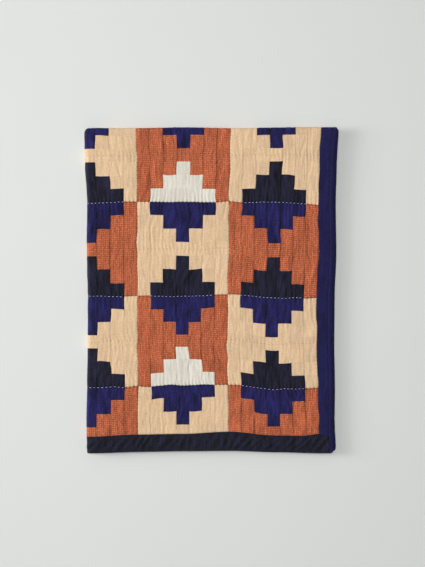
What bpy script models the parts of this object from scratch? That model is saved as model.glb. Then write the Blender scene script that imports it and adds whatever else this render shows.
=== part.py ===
"""Patchwork quilt, folded in half twice and laid flat.

The cloth is one sheet of five by six and a half blocks with a border all round. It is folded
once across its length, which makes the two-layer fold at the back edge (+Y), and then once
across its width, which makes the four-layer fold at the left edge (-X). The open edges are at
the right and the front. Every piece is a slab of that sheet, bent by one folding function.

Metres, +Z up. The origin is the centre of the stack's footprint, on the surface it lies on.
"""

import math

import bmesh
import bpy

# Cloth, as cut and sewn
PATCH = 0.037  # side of one finished patch
BLOCK = 7  # patches along a block's side
COLUMNS = 5 * BLOCK  # patches across the quilt
CUT_ROW = 0.72  # share that is left of the first row, where the front border crosses it
ROWS = CUT_ROW + 3 + 6 * BLOCK  # patches along the quilt
SIDE_BORDER = 0.0285
SIDE_BINDING = 0.0092
END_BORDER = 0.0496
THICKNESS = 0.005  # top, filling and back, at the crown between two seams
ROUNDED_EDGE = 0.006  # how far in from a bound edge the cloth reaches its full thickness
EDGE_SHARE = 0.35  # share of the thickness at the very edge
CORNER_RADIUS = 0.008
SEWING_GAP = 0.0003  # between two sewn pieces
SEAM_DEPTH = 0.0010  # the sink of a seam between two columns of patches, or along a border
SEAM_SPREAD = 0.25  # patches from a seam's bottom to the crown beside it
QUILTING_DEPTH = 0.0014  # the sink of a row of quilting stitches
QUILTING_SPREAD = 0.7  # patches from a row of stitches to the crown beside it
FIRST_QUILTING = CUT_ROW + 3  # patches from the front border to the first row of stitches
QUILTING_STEP = BLOCK / 2  # patches from one row of stitches to the next
QUILTING_ROWS = 6  # on the upper face
FOLD_FADE = 0.03  # how far before a fold the sewn relief dies away

# Folded stack, before its edges and seams wander
UPPER_EDGE_X = 0.3440  # open side edge of the upper two layers
LOWER_EDGE_X = 0.3530  # open side edge of the lower two layers
SIDE_FOLD_X = -0.3390  # axis of the four-layer fold
OUTER_EDGE_Y = -0.4607  # front edge of the outer layers
INNER_EDGE_Y = -0.4555  # front edge of the two layers between them
BACK_FOLD_Y = 0.4446  # axis of the two-layer folds
LOWER_INSET = 0.004  # the lower two layers end this much sooner, front and back
LAYER_SPACE = (0.0030, 0.0042)  # half the step between a pair's layers, at the front and at the fold
PAIR_SPACE = (0.0030, 0.0042)  # the same between the two pairs, at the open side and at the fold
RISE_LENGTH = 0.30  # how far from a fold the layers are still held up by it
SIDE_FOLD_STEPS = 8
BACK_FOLD_STEPS = 6
PLACE = (-0.0014, 0.0007)  # moves the finished stack, so that its box is centred on the origin

# How far the sewn lines and the outline wander sideways, in millimetres: a row for each height
# (y) in the stack, and a column for each line that runs along it (x).
SIDEWAYS_COLUMNS = {
    "side_fold": -0.35,
    "left_seam": -0.21,
    "middle_seam": 0.05,
    "right_block": 0.18,
    "border": 0.31,
    "edge": 0.35,
}
SIDEWAYS_DRIFT = {
    0.45: (-6, -1, 9, 9, 6, 10),
    0.35: (-5, 1, 7, 8, 2, 5),
    0.25: (0, 2, 3, 3, -1, 2),
    0.12: (-2, 1, 3, 2, -1, 4),
    -0.02: (1, 3, 0, -2, -6, -1),
    -0.15: (1, 3, -2, -4, -6, -2),
    -0.27: (-1, 6, 0, -1, -2, 0),
    -0.37: (-3, 4, 2, 2, 1, -1),
    -0.46: (-1, 3, 4, 3, 0, 3),
}

# The same towards the back: a row for each sewn row and end of the stack, and a column for each
# seam or middle of a block across it.
BACKWARD_COLUMNS = {
    "side_fold": -0.34,
    "left_seam": -0.21,
    "left_block": -0.08,
    "middle_seam": 0.05,
    "right_block": 0.18,
    "border": 0.31,
}
BACKWARD_DRIFT = {
    0.45: (8, 8, 10, 8, 10, 11),
    0.39: (7, 8, 10, 10, 10, 9),
    0.24: (2, 5, 6, 6, 5, -3),
    -0.01: (-3, -2, -3, 2, -8, -8),
    -0.27: (-3, -1, 4, 5, -8, -3),
    -0.41: (-5, 1, 3, 9, -2, -3),
    -0.46: (-3, 1, 3, 4, 0, -3),
}

# Lengths along the cloth that follow from the sizes above
FRAME_WIDTH = SIDE_BORDER + SIDE_BINDING
UPPER_RUN = UPPER_EDGE_X - SIDE_FOLD_X
LOWER_RUN = LOWER_EDGE_X - SIDE_FOLD_X
SIDE_FOLD_RUN = math.pi * (LAYER_SPACE[0] * 2 + PAIR_SPACE[1])
CLOTH_WIDTH = UPPER_RUN + SIDE_FOLD_RUN + LOWER_RUN
OUTER_RUN = BACK_FOLD_Y - OUTER_EDGE_Y
INNER_RUN = BACK_FOLD_Y - INNER_EDGE_Y
BACK_FOLD_RUN = math.pi * LAYER_SPACE[1]
CLOTH_LENGTH = OUTER_RUN + BACK_FOLD_RUN + INNER_RUN

# Linear colour of each cloth
CLOTHS = {
    "apricot_cotton": (0.716, 0.497, 0.305, 1.0),
    "indigo_cotton": (0.0144, 0.0144, 0.0612, 1.0),
    "ink_cotton": (0.0160, 0.0152, 0.0273, 1.0),
}
CLOTH_ROUGHNESS = 0.9


def smooth(share):
    """0 below 0, 1 above 1, and a smooth step between."""
    share = min(1.0, max(0.0, share))
    return share * share * (3 - 2 * share)


def between(positions, values, position):
    """The value at a position, eased from each named place to the next."""
    if position <= positions[0]:
        return values[0]
    for start, end, low, high in zip(positions, positions[1:], values, values[1:]):
        if position <= end:
            return low + (high - low) * smooth((position - start) / (end - start))
    return values[-1]


def drift(table, columns, x, y):
    """A drift table's value at a place in the stack's footprint, in metres."""
    heights = sorted(table)
    places = list(columns.values())
    return between(heights, [between(places, table[height], x) for height in heights], y) / 1000


def layer_space(y):
    """Half the step between the two layers of a pair, which the back fold holds apart."""
    near = smooth(1 - (BACK_FOLD_Y - y) / RISE_LENGTH)
    return LAYER_SPACE[0] + (LAYER_SPACE[1] - LAYER_SPACE[0]) * near


def pair_space(x):
    """Half the step between the two pairs, which the side fold holds apart."""
    near = smooth(1 - (x - SIDE_FOLD_X) / RISE_LENGTH)
    return PAIR_SPACE[0] + (PAIR_SPACE[1] - PAIR_SPACE[0]) * near


def back_fold(along, offset):
    """The first fold: (y, height above the pair's middle) for a point along the cloth's length."""
    turn = (along - OUTER_RUN) / BACK_FOLD_RUN
    if 0 < turn < 1:
        radius = LAYER_SPACE[1] + offset
        angle = math.pi * turn
        return BACK_FOLD_Y + radius * math.sin(angle), radius * math.cos(angle)
    if turn <= 0:
        y = OUTER_EDGE_Y + along
        return y, layer_space(y) + offset
    y = BACK_FOLD_Y - (along - OUTER_RUN - BACK_FOLD_RUN)
    return y, -layer_space(y) - offset


def folded(across, along, offset):
    """The place of a point of the flat cloth in the folded stack.

    across runs over the cloth's width from the upper open edge, along over its length from the
    front edge, and offset is the distance from the cloth's middle towards its pieced side.
    """
    y, height = back_fold(along, offset)
    reach = layer_space(min(y, BACK_FOLD_Y))
    turn = (across - UPPER_RUN) / SIDE_FOLD_RUN
    if 0 < turn < 1:
        middle = reach + PAIR_SPACE[1]
        radius = middle + height
        x = SIDE_FOLD_X - radius * math.sin(math.pi * turn)
        z = middle + radius * math.cos(math.pi * turn)
    elif turn <= 0:
        x = UPPER_EDGE_X - across
        z = 2 * (reach + pair_space(x)) + height
    else:
        x = SIDE_FOLD_X + (across - UPPER_RUN - SIDE_FOLD_RUN)
        z = -height
    lower = smooth((across - UPPER_RUN) / (SIDE_FOLD_RUN + RISE_LENGTH))
    y *= 1 - lower * LOWER_INSET / BACK_FOLD_Y
    return (
        x + drift(SIDEWAYS_DRIFT, SIDEWAYS_COLUMNS, x, y) + PLACE[0],
        y + drift(BACKWARD_DRIFT, BACKWARD_COLUMNS, x, y) + PLACE[1],
        z + reach + THICKNESS / 2,
    )


def column_line(column):
    """Where a seam between columns lies across the cloth, counted in patches from the upper border."""
    at = FRAME_WIDTH + column * PATCH
    if at <= UPPER_RUN:
        return at
    first_hidden = (UPPER_RUN - FRAME_WIDTH) / PATCH
    step = (CLOTH_WIDTH - FRAME_WIDTH - UPPER_RUN) / (COLUMNS - first_hidden)
    return UPPER_RUN + (column - first_hidden) * step


def row_line(row):
    """Where a row of the piecing lies along the cloth, counted in patches from the front border."""
    at = END_BORDER + row * PATCH
    if at <= OUTER_RUN:
        return at
    first_hidden = (OUTER_RUN - END_BORDER) / PATCH
    step = (CLOTH_LENGTH - END_BORDER - OUTER_RUN) / (ROWS - first_hidden)
    return OUTER_RUN + (row - first_hidden) * step


def across_lines():
    """Every line across the cloth's width where a solid has points."""
    lines = []
    for edge, inward in ((0.0, 1), (CLOTH_WIDTH, -1)):
        lines += [edge + inward * share * SIDE_BINDING for share in (0.0, 0.16, 0.5, 1.0)]
        lines += [edge + inward * (SIDE_BINDING + share * SIDE_BORDER) for share in (0.3, 0.7, 1.0)]
    for column in range(COLUMNS // 2):
        lines += [column_line(column + share) for share in (SEAM_SPREAD, 1 - SEAM_SPREAD, 1)]
    lines += [UPPER_RUN + SIDE_FOLD_RUN * step / SIDE_FOLD_STEPS for step in range(SIDE_FOLD_STEPS + 1)]
    lines += [column_line(column) for column in (22, 26, 30)]
    return sorted(set(lines))


def along_lines():
    """Every line along the cloth's length where a solid has points."""
    lines = []
    for edge, inward in ((0.0, 1), (CLOTH_LENGTH, -1)):
        lines += [edge + inward * share * END_BORDER for share in (0.0, 0.04, 0.14, 0.8, 1.0)]
    lines += [row_line(SEAM_SPREAD), row_line(FIRST_QUILTING / 2)]
    for count in range(QUILTING_ROWS):
        stitches = FIRST_QUILTING + count * QUILTING_STEP
        lines += [row_line(stitches + share) for share in (-QUILTING_SPREAD, 0, QUILTING_SPREAD)]
    lines += [OUTER_RUN + BACK_FOLD_RUN * step / BACK_FOLD_STEPS for step in range(BACK_FOLD_STEPS + 1)]
    lines += [row_line(row) for row in (29, 34, 40)]
    return sorted(set(lines))


def edge_taper(to_edge):
    """Share of the full thickness at a distance from the cloth's outer edge, which is rounded."""
    share = min(1.0, to_edge / ROUNDED_EDGE)
    return EDGE_SHARE + (1 - EDGE_SHARE) * math.sqrt(1 - (1 - share) ** 2)


def sink(across, along):
    """How far the pieced side sinks at the seams and at the rows of stitches."""
    if across < SIDE_BINDING:
        return 0.0
    column = (across - FRAME_WIDTH) / PATCH
    row = (along - END_BORDER) / PATCH
    to_column_seam = abs(column - max(0, round(column))) if row > 0 else 1.0
    to_end_seam = abs(row)
    seam = SEAM_DEPTH * smooth(1 - min(to_column_seam, to_end_seam) / SEAM_SPREAD)
    rows_of_stitches = max(0.0, (row - FIRST_QUILTING) / QUILTING_STEP)
    to_stitches = abs(row - FIRST_QUILTING - round(rows_of_stitches) * QUILTING_STEP)
    stitches = QUILTING_DEPTH * smooth(1 - to_stitches / QUILTING_SPREAD)
    before_side_fold = smooth((UPPER_RUN - across) / FOLD_FADE)
    before_back_fold = smooth((OUTER_RUN - along) / FOLD_FADE)
    return max(seam, stitches) * before_side_fold * before_back_fold


def round_corner(across, along):
    """Draws a point near one of the cloth's four corners in, so that the corner is a quarter round."""
    width_edge = 0.0 if across < CLOTH_WIDTH / 2 else CLOTH_WIDTH
    length_edge = 0.0 if along < CLOTH_LENGTH / 2 else CLOTH_LENGTH
    out_across = 1 - abs(across - width_edge) / CORNER_RADIUS
    out_along = 1 - abs(along - length_edge) / CORNER_RADIUS
    if out_across <= 0 or out_along <= 0:
        return across, along
    in_across = CORNER_RADIUS * (1 - out_across * math.sqrt(1 - out_along**2 / 2))
    in_along = CORNER_RADIUS * (1 - out_along * math.sqrt(1 - out_across**2 / 2))
    return abs(width_edge - in_across), abs(length_edge - in_along)


def span_lines(lines, span, cloth_size):
    """The lines inside a piece's span, and its two ends, drawn back from a sewn neighbour."""
    low = span[0] if span[0] == 0.0 else span[0] + SEWING_GAP / 2
    high = span[1] if span[1] == cloth_size else span[1] - SEWING_GAP / 2
    return [low, *[line for line in lines if low < line < high], high]


def slab(name, across_span, along_span, cloth_name):
    """One sewn piece: the cloth between two lines each way, folded with the rest."""
    columns = span_lines(across_lines(), across_span, CLOTH_WIDTH)
    rows = span_lines(along_lines(), along_span, CLOTH_LENGTH)
    last_i = len(columns) - 1
    last_j = len(rows) - 1
    model = bmesh.new()
    points = {}
    for i, across in enumerate(columns):
        for j, along in enumerate(rows):
            to_side = min(across, CLOTH_WIDTH - across)
            to_end = min(along, CLOTH_LENGTH - along)
            half = THICKNESS / 2 * edge_taper(to_side) * edge_taper(to_end)
            place = round_corner(across, along)
            points["front", i, j] = model.verts.new(folded(*place, half - sink(across, along)))
            points["back", i, j] = model.verts.new(folded(*place, -half))
    for i in range(last_i):
        for j in range(last_j):
            corners = ((i, j), (i, j + 1), (i + 1, j + 1), (i + 1, j))
            model.faces.new([points["front", *corner] for corner in corners])
            model.faces.new([points["back", *corner] for corner in reversed(corners)])
    rim = [(i, 0) for i in range(last_i)]
    rim += [(last_i, j) for j in range(last_j)]
    rim += [(i, last_j) for i in range(last_i, 0, -1)]
    rim += [(0, j) for j in range(last_j, 0, -1)]
    for start, end in zip(rim, rim[1:] + rim[:1]):
        corners = (("front", *start), ("front", *end), ("back", *end), ("back", *start))
        model.faces.new([points[corner] for corner in corners])
    bmesh.ops.recalc_face_normals(model, faces=model.faces)

    mesh = bpy.data.meshes.new(name)
    model.to_mesh(mesh)
    model.free()
    mesh.materials.append(cotton(cloth_name))
    mesh.shade_smooth()
    piece = bpy.data.objects.new(name, mesh)
    bpy.context.scene.collection.objects.link(piece)
    return piece


def cotton(cloth_name):
    """A matt cotton of the named colour."""
    if cloth_name in bpy.data.materials:
        return bpy.data.materials[cloth_name]
    material = bpy.data.materials.new(cloth_name)
    material.use_nodes = True
    shader = material.node_tree.nodes["Principled BSDF"]
    shader.inputs["Base Color"].default_value = CLOTHS[cloth_name]
    shader.inputs["Roughness"].default_value = CLOTH_ROUGHNESS
    shader.inputs["Metallic"].default_value = 0.0
    return material


def build():
    """Clears the scene and makes the quilt's sewn pieces."""
    for leftover in list(bpy.data.objects):
        bpy.data.objects.remove(leftover)
    whole_length = (0.0, CLOTH_LENGTH)
    field_along = (END_BORDER, CLOTH_LENGTH - END_BORDER)
    field_across = (FRAME_WIDTH, CLOTH_WIDTH - FRAME_WIDTH)
    inside_bindings = (SIDE_BINDING, CLOTH_WIDTH - SIDE_BINDING)
    slab("pieced_field", field_across, field_along, "apricot_cotton")
    slab("side_border_upper", (SIDE_BINDING, FRAME_WIDTH), field_along, "indigo_cotton")
    lower_border = (CLOTH_WIDTH - FRAME_WIDTH, CLOTH_WIDTH - SIDE_BINDING)
    slab("side_border_lower", lower_border, field_along, "indigo_cotton")
    slab("end_border_front", inside_bindings, (0.0, END_BORDER), "ink_cotton")
    slab("end_border_inner", inside_bindings, (CLOTH_LENGTH - END_BORDER, CLOTH_LENGTH), "ink_cotton")
    slab("side_binding_upper", (0.0, SIDE_BINDING), whole_length, "indigo_cotton")
    slab("side_binding_lower", (CLOTH_WIDTH - SIDE_BINDING, CLOTH_WIDTH), whole_length, "indigo_cotton")


build()
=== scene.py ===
"""The looks of a folded patchwork quilt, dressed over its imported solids.

The quilt is one flat sheet that is folded twice. A place on the flat sheet has two numbers:
across, over the quilt's width from the upper open edge, and along, over its length from the
front edge. Each sewn piece is a fine slab of that sheet, with its seams, quilting and puckers
raised on the pieced side, and one folding rule bends them all into the solids' places.

Lengths are in metres, in the frame of the solids, unless a name or its description says
millimetres.
"""

from __future__ import annotations

import logging
import math
from dataclasses import dataclass, field
from enum import Enum
from typing import Any

import bpy
import numpy as np
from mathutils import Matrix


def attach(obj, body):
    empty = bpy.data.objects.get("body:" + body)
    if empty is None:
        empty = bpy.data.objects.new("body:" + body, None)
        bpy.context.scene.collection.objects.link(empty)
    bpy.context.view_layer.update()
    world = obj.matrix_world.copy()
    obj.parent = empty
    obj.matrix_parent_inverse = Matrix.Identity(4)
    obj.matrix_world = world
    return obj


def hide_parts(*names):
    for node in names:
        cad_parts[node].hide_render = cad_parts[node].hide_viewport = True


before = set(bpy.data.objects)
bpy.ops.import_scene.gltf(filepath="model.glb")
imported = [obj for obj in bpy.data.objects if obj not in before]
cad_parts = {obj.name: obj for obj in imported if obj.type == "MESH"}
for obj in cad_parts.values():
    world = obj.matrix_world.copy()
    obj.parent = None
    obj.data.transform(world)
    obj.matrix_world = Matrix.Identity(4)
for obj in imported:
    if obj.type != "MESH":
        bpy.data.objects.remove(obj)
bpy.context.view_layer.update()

LOG = logging.getLogger("quilt")
BODY = "root"
MM = 0.001

Grid = np.ndarray
Pair = tuple[float, float]
Tree = bpy.types.NodeTree
Socket = bpy.types.NodeSocket


def smooth(share: Grid | float) -> Grid | float:
    """A smooth step from 0 at 0 and below to 1 at 1 and above."""
    share = np.clip(share, 0.0, 1.0)
    return share * share * (3 - 2 * share)


def bell(distance: Grid, width: Grid | float) -> Grid:
    """1 at no distance, falling away to both sides over about the width."""
    return np.exp(-((distance / width) ** 2))


def mix(first: Grid, second: Grid, share: Grid) -> Grid:
    """The first at a share of 0, the second at 1, and evenly between them."""
    return first * (1 - share) + second * share


def linear(hex_colour: str) -> tuple[float, float, float, float]:
    """Turns an sRGB colour such as "#dcbb96" into linear red, green, blue and alpha."""
    shares = [int(hex_colour[i : i + 2], 16) / 255 for i in (1, 3, 5)]
    return (*[s / 12.92 if s <= 0.04045 else ((s + 0.055) / 1.055) ** 2.4 for s in shares], 1.0)


def read_between(table: Grid, low: list[Grid], high: list[Grid], share: list[Grid]) -> Grid:
    """Reads a table between its entries.

    Args:
        table: the entries.
        low: on each side of the table, the number of the entry before each place.
        high: the number of the entry after it.
        share: how far the place is from low to high.

    Returns:
        What the table says at each place.
    """
    near = mix(table[low[0], low[1]], table[high[0], low[1]], share[0])
    far = mix(table[low[0], high[1]], table[high[0], high[1]], share[0])
    return mix(near, far, share[1])


def uneven(u: Grid, v: Grid, seed: int) -> Grid:
    """Smooth random heights, from -1 to 1, over a grid of unit cells.

    Args:
        u: places over the grid's first side.
        v: places over its second side.
        seed: which grid of random heights to read.

    Returns:
        The height at each place.
    """
    side = 128
    heights = np.random.default_rng(seed).uniform(-1.0, 1.0, (side, side))
    low = [np.floor(place).astype(int) for place in (u, v)]
    share = [smooth(place - cell) for place, cell in zip((u, v), low)]
    return read_between(heights, [n % side for n in low], [(n + 1) % side for n in low], share)


def quarter_round(to_u: Grid, to_v: Grid, radius: float) -> tuple[Grid, Grid, Grid]:
    """Draws a square corner in to a quarter round.

    Args:
        to_u: how far each place is inside one of the corner's edges.
        to_v: how far it is inside the other.
        radius: the quarter round's.

    Returns:
        Whether each place is drawn in, and how far inside the two edges it then is.
    """
    out_u, out_v = (np.clip(1 - inside / radius, 0.0, 1.0) for inside in (to_u, to_v))
    in_u = radius * (1 - out_u * np.sqrt(1 - out_v**2 / 2))
    in_v = radius * (1 - out_v * np.sqrt(1 - out_u**2 / 2))
    return (out_u > 0) & (out_v > 0), in_u, in_v


@dataclass(frozen=True)
class DriftTable:
    """How far sewn lines and edges wander from straight, in millimetres.

    Attributes:
        columns: the name and x of each line that runs along the stack.
        rows: for each y, the drift at each of those lines.
    """

    columns: dict[str, float]
    rows: dict[float, tuple[float, ...]]

    def at(self, x: Grid, y: Grid) -> Grid:
        """Reads the drift, in metres.

        Args:
            x: places in the stack's footprint.
            y: the same, towards the back fold.

        Returns:
            The drift at each place.
        """
        marks = (np.array(list(self.columns.values())), np.array(sorted(self.rows)))
        table = np.array([self.rows[y_mark] for y_mark in sorted(self.rows)]).T
        low = [
            np.clip(np.searchsorted(mark, place) - 1, 0, len(mark) - 2)
            for mark, place in zip(marks, (x, y))
        ]
        share = [
            smooth((place - mark[n]) / (mark[n + 1] - mark[n]))
            for mark, place, n in zip(marks, (x, y), low)
        ]
        return read_between(table, low, [n + 1 for n in low], share) * MM


SIDEWAYS = DriftTable(
    columns=dict(
        side_fold=-0.35, left_seam=-0.21, middle_seam=0.05, right_block=0.18, border=0.31, edge=0.35
    ),
    rows={
        0.45: (-6, -1, 9, 9, 6, 10),
        0.35: (-5, 1, 7, 8, 2, 5),
        0.25: (0, 2, 3, 3, -1, 2),
        0.12: (-2, 1, 3, 2, -1, 4),
        -0.02: (1, 3, 0, -2, -6, -1),
        -0.15: (1, 3, -2, -4, -6, -2),
        -0.27: (-1, 6, 0, -1, -2, 0),
        -0.37: (-3, 4, 2, 2, 1, -1),
        -0.46: (-1, 3, 4, 3, 0, 3),
    },
)
BACKWARD = DriftTable(
    columns=dict(
        side_fold=-0.34,
        left_seam=-0.21,
        left_block=-0.08,
        middle_seam=0.05,
        right_block=0.18,
        border=0.31,
    ),
    rows={
        0.45: (8, 8, 10, 8, 10, 11),
        0.39: (7, 8, 10, 10, 10, 9),
        0.24: (2, 5, 6, 6, 5, -3),
        -0.01: (-3, -2, -3, 2, -8, -8),
        -0.27: (-3, -1, 4, 5, -8, -3),
        -0.41: (-5, 1, 3, 9, -2, -3),
        -0.46: (-3, 1, 3, 4, 0, -3),
    },
)


@dataclass(frozen=True)
class Sheet:
    """The flat quilt and how it is folded: the solids' own sizes.

    Attributes:
        patch: side of one finished patch.
        block: patches along a block's side.
        whole_blocks: whole blocks across and along.
        cut_row: share that is left of the first row of patches.
        base_rows: whole rows of patches between it and the first whole block.
        thickness: of the top, the filling and the back together.
        rounded_edge: how far in from an outer edge the cloth gets thinner.
        edge_share: share of the thickness that is left at the edge.
        corner_pull: how far the front border's seam comes up at the side border.
        stitch_pitch: one running stitch with its gap.
        stitch_shift: how far each row's stitches are ahead of the last row's, as an angle.
        lower_inset: how far the lower pair of layers stays inside the upper pair.
        layer_space: half a step between a pair's layers, away from the fold and at it.
        pair_space: the same between the two pairs.
        rise_length: how far from a fold the layers begin to part.
    """

    patch: float = 0.037
    block: int = 7
    whole_blocks: tuple[int, int] = (5, 6)
    cut_row: float = 0.72
    base_rows: int = 3
    side_border: float = 0.0285
    side_binding: float = 0.0092
    end_border: float = 0.0496
    thickness: float = 0.005
    rounded_edge: float = 0.006
    edge_share: float = 0.35
    corner_radius: float = 0.008
    corner_pull: float = 0.006
    fold_corner_radius: float = 0.013
    back_corner_spread: float = 0.007
    seam_wander: float = 0.0022
    stitch_pitch: float = 0.0108
    stitch_shift: float = 2.1
    upper_edge_x: float = 0.3440
    lower_edge_x: float = 0.3530
    side_fold_x: float = -0.3390
    outer_edge_y: float = -0.4607
    inner_edge_y: float = -0.4555
    back_fold_y: float = 0.4446
    lower_inset: float = 0.004
    layer_space: Pair = (0.0030, 0.0042)
    pair_space: Pair = (0.0030, 0.0042)
    rise_length: float = 0.30
    place_x: float = -0.0014
    place_y: float = 0.0007

    @property
    def columns(self) -> int:
        """Patches across the quilt."""
        return self.whole_blocks[0] * self.block

    @property
    def rows(self) -> float:
        """Patches along the quilt."""
        return self.first_quilting + self.whole_blocks[1] * self.block

    @property
    def frame_width(self) -> float:
        """Width of a side border with its binding."""
        return self.side_border + self.side_binding

    @property
    def upper_run(self) -> float:
        """Cloth across the upper pair of layers, from the open edge to the side fold."""
        return self.upper_edge_x - self.side_fold_x

    @property
    def side_fold_run(self) -> float:
        """Cloth across the side fold, measured in the middle of the stack."""
        return math.pi * (self.layer_space[0] * 2 + self.pair_space[1])

    @property
    def width(self) -> float:
        """Width of the flat quilt."""
        return self.upper_run + self.side_fold_run + self.lower_edge_x - self.side_fold_x

    @property
    def outer_run(self) -> float:
        """Cloth along the outer layer, from the front edge to the back fold."""
        return self.back_fold_y - self.outer_edge_y

    @property
    def back_fold_run(self) -> float:
        """Cloth along the back fold."""
        return math.pi * self.layer_space[1]

    @property
    def length(self) -> float:
        """Length of the flat quilt."""
        return self.outer_run + self.back_fold_run + self.back_fold_y - self.inner_edge_y

    @property
    def first_quilting(self) -> float:
        """Patches from the front border to the first row of quilting."""
        return self.cut_row + self.base_rows

    @property
    def quilting_step(self) -> float:
        """Patches from one row of quilting to the next."""
        return self.block / 2

    def _line(self, number: float, border: float, shown: float, size: float, count: float) -> float:
        """Places a line of patches: a patch apart up to the fold, and evenly after it.

        Args:
            number: which line, counted in patches from the border.
            border: width of the border before the first line.
            shown: where the fold starts.
            size: the flat quilt's size that way.
            count: patches that way.

        Returns:
            The line's place.
        """
        place = border + number * self.patch
        if place <= shown:
            return place
        first_hidden = (shown - border) / self.patch
        step = (size - border - shown) / (count - first_hidden)
        return shown + (number - first_hidden) * step

    def column_line(self, column: float) -> float:
        """Where the cloth is across, counted in patches from the upper border."""
        return self._line(column, self.frame_width, self.upper_run, self.width, self.columns)

    def row_line(self, row: float) -> float:
        """Where the cloth is along, counted in patches from the front border."""
        return self._line(row, self.end_border, self.outer_run, self.length, self.rows)

    def _near_fold(self, spaces: Pair, to_fold: Grid) -> Grid:
        """Half a step between layers, which a fold holds apart."""
        return spaces[0] + (spaces[1] - spaces[0]) * smooth(1 - to_fold / self.rise_length)

    def folded(self, across: Grid, along: Grid, offset: Grid) -> Grid:
        """Folds places of the flat cloth.

        Args:
            across: places over the cloth's width.
            along: places over its length.
            offset: distances from the cloth's middle towards its pieced side.

        Returns:
            The places in the stack, with x, y and z last.
        """
        past_back = along - self.outer_run
        turn = past_back / self.back_fold_run
        angle = math.pi * np.clip(turn, 0.0, 1.0)
        turning = (turn > 0) & (turn < 1)
        inner_y = self.back_fold_y - (past_back - self.back_fold_run)
        leg_y = np.where(turn <= 0, self.outer_edge_y + along, inner_y)
        leg_y = np.where(turning, self.back_fold_y, leg_y)
        space = self._near_fold(self.layer_space, self.back_fold_y - leg_y)
        y = leg_y + (space + offset) * np.sin(angle) * turning
        height = (space + offset) * np.cos(angle)

        past_side = across - self.upper_run
        swing = past_side / self.side_fold_run
        sweep = math.pi * np.clip(swing, 0.0, 1.0)
        lower_x = self.side_fold_x + (past_side - self.side_fold_run)
        leg_x = np.where(swing <= 0, self.upper_edge_x - across, lower_x)
        leg_x = np.where((swing > 0) & (swing < 1), self.side_fold_x, leg_x)
        middle = space + self._near_fold(self.pair_space, leg_x - self.side_fold_x)
        x = leg_x - (middle + height) * np.sin(sweep)
        z = middle + (middle + height) * np.cos(sweep) + space + self.thickness / 2

        lower = smooth(past_side / (self.side_fold_run + self.rise_length))
        y = y * (1 - lower * self.lower_inset / self.back_fold_y)
        x, y = self._round_fold_corner(x, y)
        x, y = x + SIDEWAYS.at(x, y) + self.place_x, y + BACKWARD.at(x, y) + self.place_y
        return np.stack((x, y, z), axis=-1)

    def _round_fold_corner(self, x: Grid, y: Grid) -> tuple[Grid, Grid]:
        """Draws in the square corner where the side fold meets the back fold.

        Args:
            x: places in the stack's footprint.
            y: the same, towards the back fold.

        Returns:
            The places that they are drawn to, x and y.
        """
        half = self.thickness / 2
        left = self.side_fold_x - 2 * self.layer_space[1] - self.pair_space[1] - half
        back = self.back_fold_y + self.layer_space[1] + half
        near, in_x, in_y = quarter_round(x - left, back - y, self.fold_corner_radius)
        return np.where(near, left + in_x, x), np.where(near, back - in_y, y)

    def half_thickness(self, across: Grid, along: Grid) -> Grid:
        """Half the cloth's thickness, less towards its rounded outer edges.

        Args:
            across: places over the cloth's width.
            along: places over its length.

        Returns:
            The half thickness at each place.
        """
        half = np.full(np.shape(across), self.thickness / 2)
        for place, size in ((across, self.width), (along, self.length)):
            share = np.clip(np.minimum(place, size - place) / self.rounded_edge, 0.0, 1.0)
            crown = np.sqrt(1 - (1 - share) ** 2)
            half = half * (self.edge_share + (1 - self.edge_share) * crown)
        return half

    def round_corners(self, across: Grid, along: Grid) -> tuple[Grid, Grid]:
        """Draws the flat sheet's four square corners in to quarter rounds.

        Args:
            across: places over the cloth's width.
            along: places over its length.

        Returns:
            The places that they are drawn to, across and along.
        """
        side = np.where(across < self.width / 2, 0.0, self.width)
        end = np.where(along < self.length / 2, 0.0, self.length)
        to_edges = (np.abs(across - side), np.abs(along - end))
        near, in_across, in_along = quarter_round(*to_edges, self.corner_radius)
        across = np.where(near, np.abs(side - in_across), across)
        return across, np.where(near, np.abs(end - in_along), along)

    def draw_up(self, across: Grid, along: Grid) -> tuple[Grid, Grid]:
        """Draws places off their straight lines, as tight and loose threads do.

        The front border's seam comes up at the side border, the back corner at the open side
        spreads, and every seam between patches wanders a little.

        Args:
            across: places over the cloth's width.
            along: places over its length.

        Returns:
            The places that they are drawn to, across and along.
        """
        past_seam = across - self.frame_width
        wide, narrow = 24 * MM, 11 * MM
        reach = np.where(past_seam > 0, wide, narrow)
        pull = bell(past_seam, reach) * bell(along - self.end_border, wide)
        to_back = along - self.outer_run - self.back_fold_run / 2
        spread = bell(across, 20 * MM) * (bell(to_back, 26 * MM) - 0.55 * bell(to_back, 8 * MM))
        to_side = np.minimum(across, self.upper_run - across)
        to_end = np.minimum(along - self.end_border, self.outer_run - along)
        border = 30 * MM
        wander = self.seam_wander * smooth(to_side / border) * smooth(to_end / border)
        short, long = 33 * MM, 52 * MM
        aside = wander * uneven(across / long, along / short, 31)
        onward = wander * uneven(across / short, along / long, 32)
        across = across - self.back_corner_spread * spread + aside
        return across, along + self.corner_pull * pull + onward


class Cotton(Enum):
    """The cottons that the quilt is cut from, in the order of the pieced field's materials."""

    APRICOT = 0
    RUST = 1
    INDIGO = 2
    INK = 3
    WHITE = 4


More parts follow.
